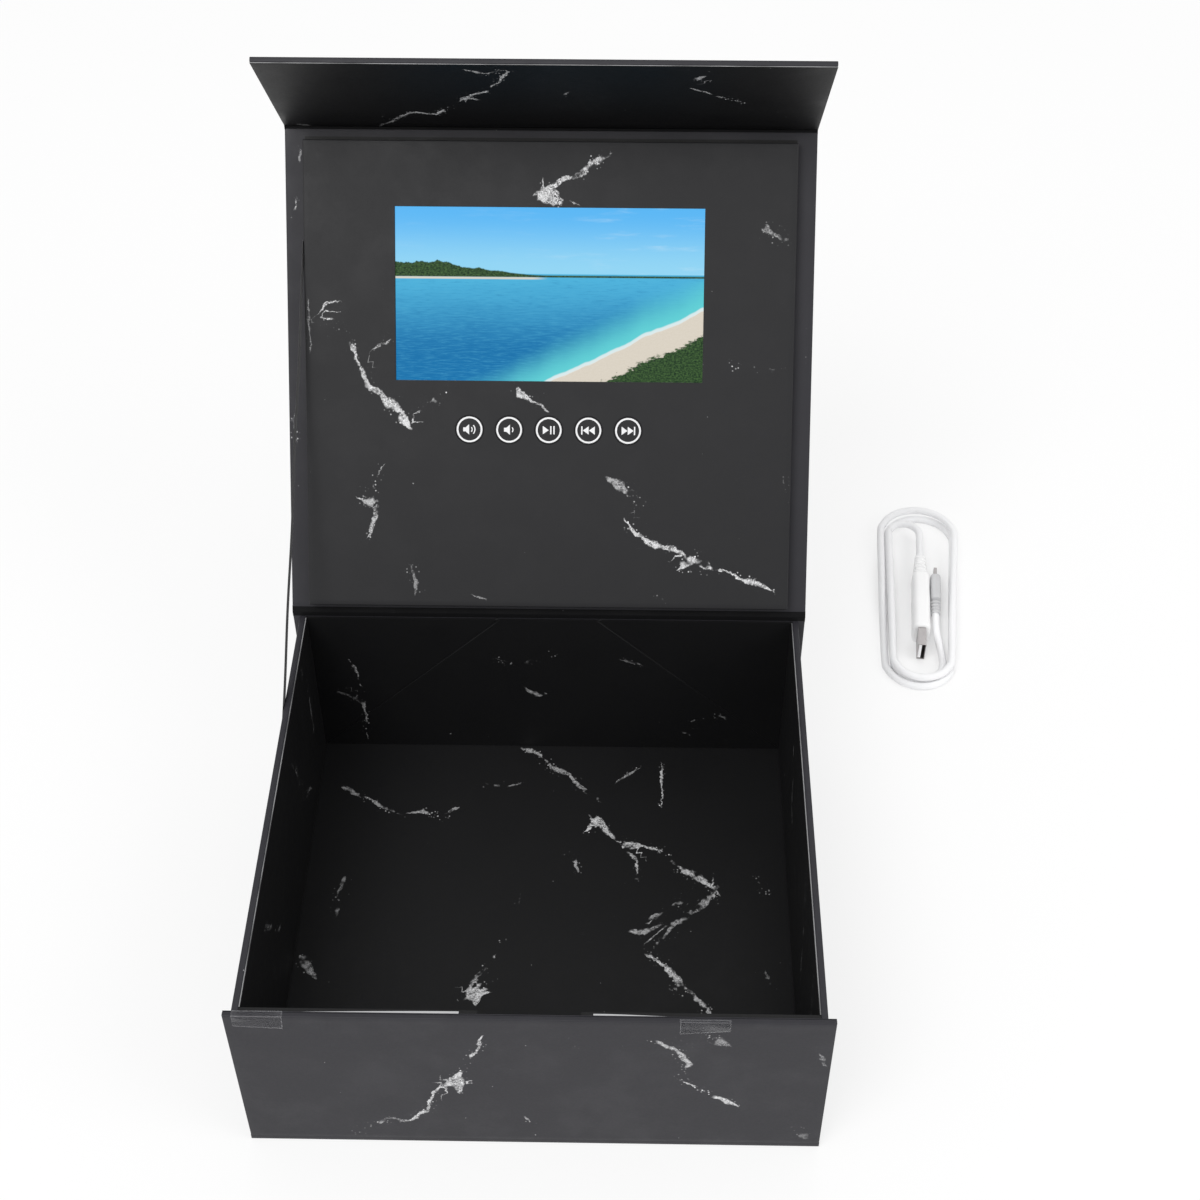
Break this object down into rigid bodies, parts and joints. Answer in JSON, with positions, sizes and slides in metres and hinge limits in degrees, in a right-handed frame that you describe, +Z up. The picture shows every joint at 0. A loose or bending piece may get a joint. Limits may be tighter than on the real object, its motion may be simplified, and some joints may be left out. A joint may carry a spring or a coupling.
{
  "type": "lcd video brochure",
  "caption": "Collapsible marbled gift box with a screen and buttons in its lid, a magnetic flap, a ribbon stay and a charging cable.",
  "frame": {"origin": "centre of the base board's underside", "axes": "+X right, +Y from the front board to the back, +Z up"},
  "size_m": [0.375, 0.4355, 0.3758],
  "materials": {
    "marbled_paper": "matte black wrapping paper with a white marble print",
    "lining_paper": "matte black lining paper with a white marble print",
    "tab_board": "wrapped board with a bare light edge",
    "clear_tape": "clear glossy tape",
    "foam": "black foam bars behind paper",
    "steel": "plain steel",
    "plated_steel": "bright plated steel",
    "screen_glass": "lit screen with a picture",
    "white_plastic": "white moulded plastic",
    "circuit_board": "green circuit board",
    "black_plastic": "black moulded plastic",
    "battery_foil": "battery pouch foil",
    "flat_cable": "amber flat cable",
    "wire": "insulated wire",
    "ribbon": "black woven ribbon",
    "cable_sheath": "soft white sheath"
  },
  "bodies": {
    "box": {"base_board": "marbled_paper", "back_board": "marbled_paper", "back_fold": "marbled_paper", "front_fold": "marbled_paper", "lid_fold_roll": "marbled_paper", "left_wall": "marbled_paper", "right_wall": "marbled_paper", "left_front_tab": "tab_board", "right_front_tab": "tab_board", "floor_lining": "lining_paper", "left_lining": "lining_paper", "right_lining": "lining_paper", "back_lining": "lining_paper", "left_gusset": "lining_paper", "right_gusset": "lining_paper", "usb_cable": "cable_sheath", "usb_a_grip": "white_plastic", "usb_a_shell": "plated_steel", "usb_a_tongue": "white_plastic", "micro_usb_grip": "white_plastic", "micro_usb_shell": "plated_steel"},
    "front_panel": {"front_board": "marbled_paper", "front_lining": "lining_paper", "front_plates": "steel", "left_tape": "clear_tape", "right_tape": "clear_tape"},
    "lid": {"lid_board": "marbled_paper", "housing_bars": "foam", "housing_face": "marbled_paper", "screen_frame": "steel", "screen_glass": "screen_glass", "screen_backlight": "white_plastic", "screen_cable": "flat_cable", "main_circuit": "circuit_board", "main_pads": "foam", "main_chips": "black_plastic", "charging_port": "plated_steel", "port_tongue": "black_plastic", "battery": "battery_foil", "battery_leads": "wire", "speaker": "black_plastic", "speaker_cone": "black_plastic", "speaker_leads": "wire", "switch_circuit": "circuit_board", "switches": "black_plastic", "switch_cable": "flat_cable", "flap_fold_roll": "marbled_paper", "ribbon": "ribbon"},
    "flap": {"flap_board": "marbled_paper", "flap_lining": "lining_paper", "flap_magnets": "plated_steel"},
    "volume_up_key": {"volume_up_button": "marbled_paper"},
    "volume_down_key": {"volume_down_button": "marbled_paper"},
    "play_key": {"play_button": "marbled_paper"},
    "previous_key": {"previous_button": "marbled_paper"},
    "next_key": {"next_button": "marbled_paper"}
  },
  "joints": [
    {"name": "lid_hinge", "type": "hinge", "parent": "box", "child": "lid", "pos_m": [0, 0.121, 0.106], "axis": [1, 0, 0], "range_deg": [0, 126], "deforming": ["ribbon"]},
    {"name": "flap_hinge", "type": "hinge", "parent": "lid", "child": "flap", "pos_m": [0, 0.2653, 0.30461], "axis": [1, 0, 0], "range_deg": [-77, 13]},
    {"name": "front_hinge", "type": "hinge", "parent": "box", "child": "front_panel", "pos_m": [0, -0.121, 0.0015], "axis": [1, 0, 0], "range_deg": [0, 90]},
    {"name": "volume_up_press", "type": "slide", "parent": "lid", "child": "volume_up_key", "axis": [0, 0.809, -0.5878], "range_m": [0, 0.0004], "stiffness_N_per_m": 300, "springref_m": -0.0005},
    {"name": "volume_down_press", "type": "slide", "parent": "lid", "child": "volume_down_key", "axis": [0, 0.809, -0.5878], "range_m": [0, 0.0004], "stiffness_N_per_m": 300, "springref_m": -0.0005},
    {"name": "play_press", "type": "slide", "parent": "lid", "child": "play_key", "axis": [0, 0.809, -0.5878], "range_m": [0, 0.0004], "stiffness_N_per_m": 300, "springref_m": -0.0005},
    {"name": "previous_press", "type": "slide", "parent": "lid", "child": "previous_key", "axis": [0, 0.809, -0.5878], "range_m": [0, 0.0004], "stiffness_N_per_m": 300, "springref_m": -0.0005},
    {"name": "next_press", "type": "slide", "parent": "lid", "child": "next_key", "axis": [0, 0.809, -0.5878], "range_m": [0, 0.0004], "stiffness_N_per_m": 300, "springref_m": -0.0005}
  ]
}
